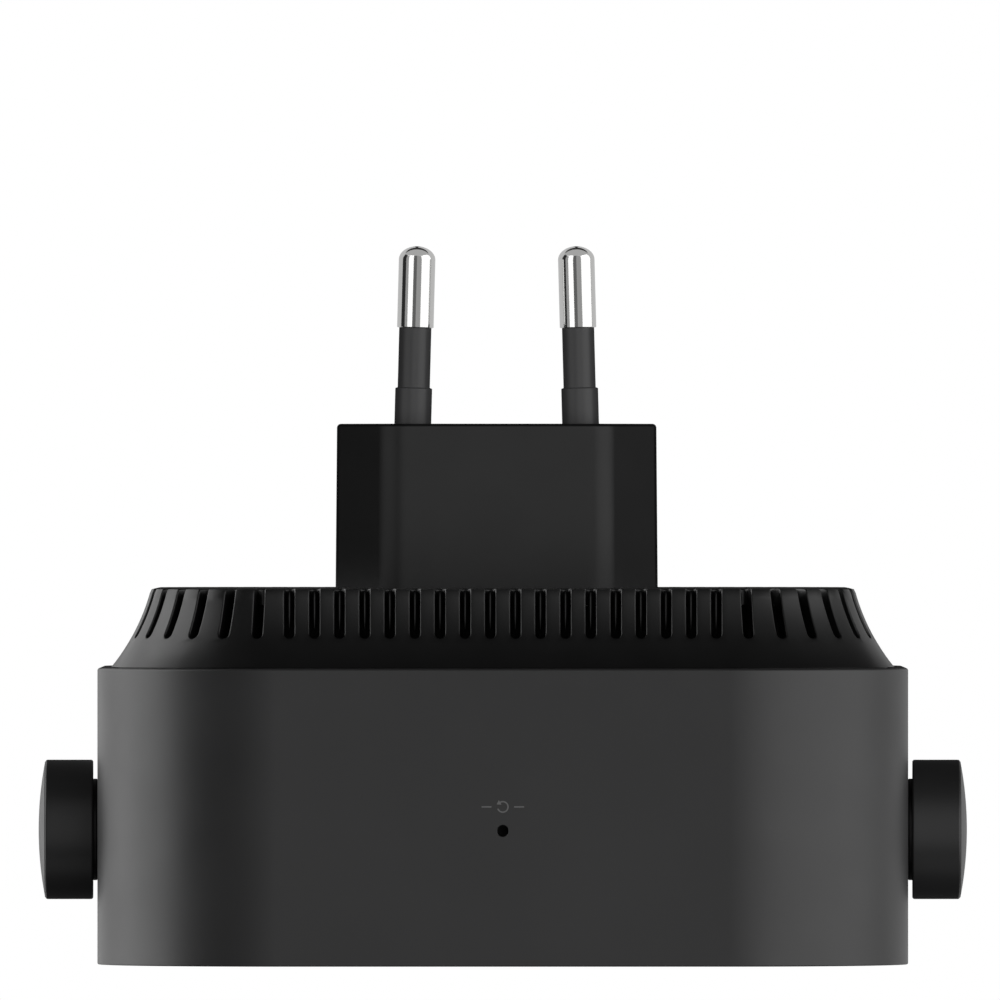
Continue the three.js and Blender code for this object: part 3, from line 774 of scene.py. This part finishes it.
def slot_loop(start, end, radius):
    """The slot's outline as (s, across, edge s, edge share): each point with its match on the cell's edge."""
    margin = 1.3 * MM
    middle = [start + (end - start) * i / 16 for i in range(1, 16)]
    loop = []

    def round_end(centre, direction, first_side):
        for k in range(9):
            angle = math.radians(22.5 * k)
            s = centre + direction * radius * math.sin(angle)
            across = first_side * radius * math.cos(angle)
            if k <= 2:
                edge = (centre + direction * margin * math.tan(angle), first_side * 1.0)
            elif k >= 6:
                edge = (centre + direction * margin * math.tan(math.pi - angle), -first_side * 1.0)
            else:
                edge = (centre + direction * margin, first_side / math.tan(angle))
            loop.append((s, across, *edge))

    round_end(end, 1, 1)
    for s in reversed(middle):
        loop.append((s, -radius, s, -1.0))
    round_end(start, -1, -1)
    for s in middle:
        loop.append((s, radius, s, 1.0))
    return loop, start - margin, end + margin


def make_shell():
    radius = VENT["half_width"]
    start = (FLARE["half"] - VENT["on_back"] + radius) - RIM_HALF
    end = length_at_depth(VENT["depth"]) - radius
    loop, top_s, base_s = slot_loop(start, end, radius)
    vertices, faces = [], []

    def add(points):
        first = len(vertices)
        vertices.extend(points)
        return list(range(first, first + len(points)))

    def bridge(a, b, closed=True):
        count = len(a)
        for i in range(count if closed else count - 1):
            j = (i + 1) % count
            faces.append((a[i], a[j], b[j], b[i]))

    def outer_point(cell, s, across, sunk=0.0):
        (half, y), normal = outer_profile(s)
        return cell_point(cell, half - sunk * normal[0], y - sunk * normal[1], across)

    def inner_point(cell, s, across):
        half, y = inner_profile(s)
        return cell_point(cell, half, y, across)

    def edge_row(cell, half, y):
        return [cell_point(cell, half, y, cell_across(cell, half, share)) for share in ACROSS_STEPS]

    base_y = BAND_BACK_Y + 0.1 * MM
    skirt_half = INNER_HALF - 0.3 * MM
    base_length = length_at_depth(SHELL_BACK_Y - base_y)
    outer_rows = [outer_profile(base_s + (base_length - base_s) * i / 4)[0] for i in range(5)]
    inner_start = inner_profile(base_s)
    skirt_rows = [
        (skirt_half, base_y),
        (skirt_half, shell_skirt_end()),
        (skirt_half - SKIRT_WALL, shell_skirt_end()),
        (skirt_half - SKIRT_WALL, base_y - 0.5 * MM),
        inner_start,
    ]
    plate_half = CORNER_CENTRE + 6 * MM

    for cell in cells():
        edge_loop = []
        inner_edge_loop = []
        for _, _, edge_s, share in loop:
            half, _ = outer_profile(edge_s)[0]
            edge_loop.append(outer_point(cell, edge_s, cell_across(cell, half, share)))
            inner_half, inner_y = inner_profile(edge_s)
            across = cell_across(cell, inner_half, share)
            inner_edge_loop.append(cell_point(cell, inner_half, inner_y, across))
        rings = [add(edge_loop)]
        for wider, sunk in arc((0, 0), VENT["edge"], 0, 90, 4):
            grown, _, _ = slot_loop(start, end, radius + VENT["edge"] - sunk)
            depth = VENT["edge"] - wider
            rings.append(add([outer_point(cell, s, across, depth) for s, across, _, _ in grown]))
        rings.append(add([inner_point(cell, s, across) for s, across, _, _ in loop]))
        rings.append(add(inner_edge_loop))
        for a, b in zip(rings, rings[1:]):
            bridge(a, b)
        rows = [add(edge_row(cell, half, y)) for half, y in [*outer_rows, *skirt_rows]]
        for a, b in zip(rows, rows[1:]):
            bridge(a, b, closed=False)
        (top_half, _), _ = outer_profile(top_s)
        for y, first_half in ((SHELL_BACK_Y, top_half), (SHELL_BACK_Y - BACK_PLATE, inner_profile(top_s)[0])):
            near = add(edge_row(cell, first_half, y))
            far = add(edge_row(cell, plate_half, y))
            bridge(near, far, closed=False)

    for y in (SHELL_BACK_Y, SHELL_BACK_Y - BACK_PLATE):
        ring = []
        for cell in cells():
            ring.extend(reversed(edge_row(cell, plate_half, y)))
        faces.append(tuple(add(ring)))
    shell = new_mesh("vent_shell_skin", vertices, faces)
    posts = [post_skin(x, z) for x in (-1, 1) for z in (-1, 1)]
    shell = join("vent_shell_skin", [shell, *posts])
    dress(weighted(shell), MATERIALS["shell_plastic"], stands_for=["rear_vent_shell"])


def shell_skirt_end():
    return BAND_BACK_Y - 3.9 * MM


def post_skin(x, z):
    """A screw post, drawn down slightly towards its end, with its pilot hole."""
    at = 29.5 * MM
    place = Vector((CENTRE_X + x * at, 0, z * at))
    top = shell_low.y
    profile = [
        (1.3 * MM, top + 8 * MM),
        (1.3 * MM, top),
        (2.8 * MM, top),
        (3.0 * MM, top + 0.3 * MM),
        (3.15 * MM, SHELL_BACK_Y - BACK_PLATE + 0.4 * MM),
    ]
    return turned("post", profile, Matrix.Translation(place) @ TO_Y, 32)


def make_liner():
    """The guard ring behind the slots, with a slim round rib in each slot of the four straight sides."""
    set_back = 1.8 * MM
    wall = 0.8 * MM
    outer = liner_high.x - CENTRE_X - set_back
    inner = outer - wall
    profile = [(outer, liner_high.y), (outer, liner_low.y), (inner, liner_low.y), (inner, liner_high.y)]
    ring = loft("vent_liner_skin", [rounded_square(half, y) for half, y in profile], closed_loop=True)
    dress(weighted(ring), MATERIALS["shell_plastic"], stands_for=["vent_liner"])
    ribs = []
    rib_out = FLARE["half"] - VENT["on_back"] + 0.25 * MM
    rib_root = 1.2
    rib_sides = 16
    # Radius and depth below the back face, in mm: a round tip, a straight stretch and a drawn-out end.
    levels = [(0.05, 0.2), (0.17, 0.4), (0.27, 1.0), (0.27, 2.9), (0.2, 3.8), (0.08, 4.5)]
    for cell in cells():
        if cell["low_is_round"] and cell["high_is_round"]:
            continue
        rings = []
        for radius, depth in levels:
            ring = []
            for i in range(rib_sides):
                angle = 2 * math.pi * i / rib_sides
                reach = rib_root if math.sin(angle) < 0 else radius
                out = rib_out + reach * MM * math.sin(angle)
                ring.append(cell_point(cell, out, SHELL_BACK_Y - depth * MM, radius * MM * math.cos(angle)))
            rings.append(ring)
        ribs.append(loft("rib", rings, sharp=60))
    dress(weighted(join("vent_rib_skin", ribs)), MATERIALS["shell_plastic"])


# ---------- plug ----------


def plug_outline(inset, y, steps=8):
    """The plug's long octagon at one depth, with its corners rounded."""
    half_width = 17.85 * MM - inset
    half_height = 6.85 * MM - inset
    bevel = 6 * MM
    short_x = half_width - bevel + 0.4 * inset
    short_z = half_height - bevel + 0.4 * inset
    corners = [
        (half_width, -short_z), (half_width, short_z), (short_x, half_height), (-short_x, half_height),
        (-half_width, short_z), (-half_width, -short_z), (-short_x, -half_height), (short_x, -half_height),
    ]
    points = []
    for i, corner_point in enumerate(corners):
        here = Vector(corner_point)
        before = (Vector(corners[i - 1]) - here).normalized()
        after = (Vector(corners[(i + 1) % 8]) - here).normalized()
        corner = 0.5 * MM if abs(here.x) > short_x + bevel / 2 else 1.9 * MM
        for step in range(steps + 1):
            t = step / steps
            p = here + before * corner * (1 - t) ** 2 + after * corner * t ** 2
            points.append(Vector((p.x, y, p.y)))
    return points


def pin_matrix(side):
    """Places a piece turned about Z on the axis of one of the two leaning pins."""
    spacing = 18.75 * MM
    lean = math.radians(1.5)
    return Matrix.Translation((side * spacing / 2, 0, 0)) @ Matrix.Rotation(side * lean, 4, "Z") @ TO_Y


def make_plug():
    draft = 0.15 * MM
    base_y = SHELL_BACK_Y
    edge = 0.45 * MM
    rows = [(0.5 * MM, 0.0)]
    rows += [(edge - along, -edge + up) for up, along in arc((0, 0), edge, 0, 90, 6)]
    rows += [(-draft, base_y)]
    block = loft("plug_block_skin", [plug_outline(inset, y) for inset, y in rows])
    bore = [(2.16 * MM, -6 * MM), (2.16 * MM, -0.15 * MM), (2.3 * MM, 0), (2.3 * MM, 1 * MM)]
    cut(block, *(turned("bore", bore, pin_matrix(side)) for side in (-1, 1)))
    dress(weighted(block), MATERIALS["shell_plastic"], stands_for=["plug_block"])
    for name, side in (("right", 1), ("left", -1)):
        make_pin(name, side)
        make_sleeve(name, side)


def make_pin(name, side):
    shoulder = 10.75 * MM
    radius = 2.04 * MM
    length = 19.85 * MM
    tip = 1.5 * MM
    profile = [(1.3 * MM, -24 * MM), (1.3 * MM, shoulder), (radius - 0.1 * MM, shoulder)]
    profile += arc((radius - 0.1 * MM, shoulder + 0.1 * MM), 0.1 * MM, -90, 0, 3)[1:]
    profile += [(across, length - tip + up * tip / radius) for across, up in arc((0, 0), radius, 0, 88, 16)]
    pin = turned("pin_skin_" + name, profile, pin_matrix(side), 96)
    dress(weighted(pin), MATERIALS["pin_metal"], stands_for=["plug_pin_" + name])


def make_sleeve(name, side):
    collar, slim, bore = 2.06 * MM, 1.8 * MM, 1.4 * MM
    step = 4.0 * MM
    end = 10.78 * MM
    profile = [(bore, -6 * MM), (collar, -6 * MM)]
    profile += arc((collar - 0.12 * MM, step - 0.12 * MM), 0.12 * MM, 0, 60, 3)
    profile += arc((slim + 0.08 * MM, step + 0.1 * MM), 0.08 * MM, 240, 180, 3)
    profile += arc((slim - 0.08 * MM, end - 0.08 * MM), 0.08 * MM, 0, 90, 3)
    profile += [(bore, end)]
    sleeve = turned("sleeve_skin_" + name, profile, pin_matrix(side), 96, closed_loop=True)
    dress(weighted(sleeve), MATERIALS["sleeve_plastic"], stands_for=["pin_sleeve_" + name])


# ---------- paddles ----------

END_RADIUS = 7.76 * MM
TIP_RADIUS = 6.2 * MM
REACH = 78 * MM
DOME = 0.76 * MM
DRAFT = 1.3 * MM


def paddle_outline(side, inset, x, draft=0.0, steps=40):
    """The paddle's outline across X, about the hinge, with x as the distance from the housing's middle.

    With a draft its plane leans away from the housing, by that much from the round end to the tip.
    """
    hinge = hinge_centre()
    lower = max(END_RADIUS - inset, 0.02 * MM)
    upper = max(TIP_RADIUS - inset * TIP_RADIUS / END_RADIUS, 0.02 * MM)
    lean = math.asin((END_RADIUS - TIP_RADIUS) / REACH)
    points = []
    for radius, height, first, last in (
        (upper, REACH, lean, math.pi - lean),
        (lower, 0, math.pi - lean, 2 * math.pi + lean),
    ):
        for i in range(steps + 1):
            angle = first + (last - first) * i / steps
            y = hinge.y + radius * math.cos(angle)
            up = height + radius * math.sin(angle)
            out = x + draft * (up + END_RADIUS) / (END_RADIUS + REACH + TIP_RADIUS)
            points.append(Vector((CENTRE_X + side * out, y, hinge.z + up)))
    return points


def dome_height(inset):
    radius = (END_RADIUS ** 2 + DOME ** 2) / (2 * DOME)
    across = END_RADIUS - inset
    return math.sqrt(radius * radius - across * across) - (radius - DOME)


def make_paddles():
    inner = 45.47 * MM
    rim = 50.9 * MM
    edge = 0.25 * MM
    floor = inner + 1.5 * MM
    for name, side in (("right", 1), ("left", -1)):
        body = name + "_antenna"
        hinge = hinge_centre()
        rings = [paddle_outline(side, edge + 2 * MM, inner, DRAFT)]
        for up, along in arc((0, 0), edge, 0, 90, 5):
            rings.append(paddle_outline(side, edge - along, inner + edge - up, DRAFT))
        for out, up in arc((0, 0), edge, 0, 75, 4):
            rings.append(paddle_outline(side, edge - out, rim - edge + up))
        rings.append(paddle_outline(side, 1.4 * MM, rim - 0.06 * MM))
        rings.append(paddle_outline(side, 1.4 * MM, floor, DRAFT))
        rings.append(paddle_outline(side, 3 * MM, floor, DRAFT))
        tray = loft("arm_skin", rings)
        at_hinge = Matrix.Translation((CENTRE_X, hinge.y, hinge.z)) @ (TO_X if side > 0 else TO_X.inverted())
        pivot_profile = [
            (2.6 * MM, inner + 0.4 * MM),
            (2.6 * MM, 39.5 * MM),
            (4.4 * MM, 39.5 * MM),
            (4.6 * MM, 39.7 * MM),
            (4.6 * MM, 41.0 * MM),
            (4.0 * MM, 41.0 * MM),
            (4.0 * MM, 41.8 * MM),
            (4.6 * MM, 41.8 * MM),
            (4.6 * MM, 45.1 * MM),
            (5.55 * MM, 45.1 * MM),
            (5.65 * MM, 45.2 * MM),
            (5.65 * MM, inner + 0.4 * MM),
        ]
        pivot = turned("pivot", pivot_profile, at_hinge, 64, closed_loop=True)
        arm = join("arm_skin_" + name, [tray, pivot])
        dress(weighted(arm), MATERIALS["antenna_plastic"], body, ["antenna_arm_" + name])
        start = 0.2 * MM
        rings = [
            paddle_outline(side, 1.7 * MM, rim - 1 * MM),
            paddle_outline(side, 1.7 * MM, rim - 0.03 * MM),
            paddle_outline(side, start, rim - 0.03 * MM),
        ]
        for i in range(15):
            inset = start + (END_RADIUS - start) * (1 - math.cos(math.radians(6 * i)))
            rings.append(paddle_outline(side, inset, rim + dome_height(inset)))
        rings.append(paddle_outline(side, END_RADIUS, rim + DOME))
        lid = loft("lid_skin_" + name, rings, sharp=50)
        dress(weighted(lid), MATERIALS["antenna_plastic"], body, ["antenna_shell_" + name])


def make_pictogram():
    """A small printed sign beside the reset hole: an arrow that turns round, between two short bars."""
    reset_low, reset_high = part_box("reset_plunger")
    middle = Vector((CENTRE_X, (reset_low.y + reset_high.y) / 2 + 2.65 * MM))
    surface = -HALF - 0.004 * MM
    radius, half_line = 0.58 * MM, 0.075 * MM
    outlines = []
    inner, outer = [], []
    for i in range(31):
        angle = math.radians(60 + 280 * i / 30)
        direction = Vector((math.cos(angle), math.sin(angle)))
        inner.append(direction * (radius - half_line))
        outer.append(direction * (radius + half_line))
    outlines.append((inner, outer))
    tip = math.radians(60)
    direction, forward = directions(tip)
    base = direction * radius
    head = [base + direction * 0.3 * MM, base - direction * 0.3 * MM, base - forward * 0.45 * MM]
    for side in (-1, 1):
        start, end = 1.25 * MM * side, 2.35 * MM * side
        low = [Vector((start, -half_line)), Vector((end, -half_line))]
        high = [Vector((start, half_line)), Vector((end, half_line))]
        outlines.append((low, high))
    vertices, faces = [], []

    def add(points, polygons):
        for level in (surface, surface - 0.014 * MM):
            vertices.extend(Vector((middle.x + p.x, middle.y + p.y, level)) for p in points)
        first = len(vertices) - 2 * len(points)
        edges = {}
        for polygon in polygons:
            faces.append(tuple(first + i for i in polygon))
            faces.append(tuple(first + len(points) + i for i in reversed(polygon)))
            for a, b in zip(polygon, polygon[1:] + polygon[:1]):
                key = tuple(sorted((a, b)))
                edges[key] = edges.get(key, 0) + 1
        for (a, b), uses in edges.items():
            if uses == 1:
                faces.append((first + a, first + b, first + len(points) + b, first + len(points) + a))

    for low, high in outlines:
        count = len(low)
        add(low + high, [(i, i + 1, count + i + 1, count + i) for i in range(count - 1)])
    add(head, [(0, 1, 2)])
    sign = new_mesh("reset_pictogram", vertices, faces, sharp=20)
    dress(sign, MATERIALS["print_grey"])


dress_frame()
make_camera()
make_floor()
make_world()
make_band()
make_cover()
make_shell()
make_liner()
make_plug()
make_paddles()
make_pictogram()
make_lights()
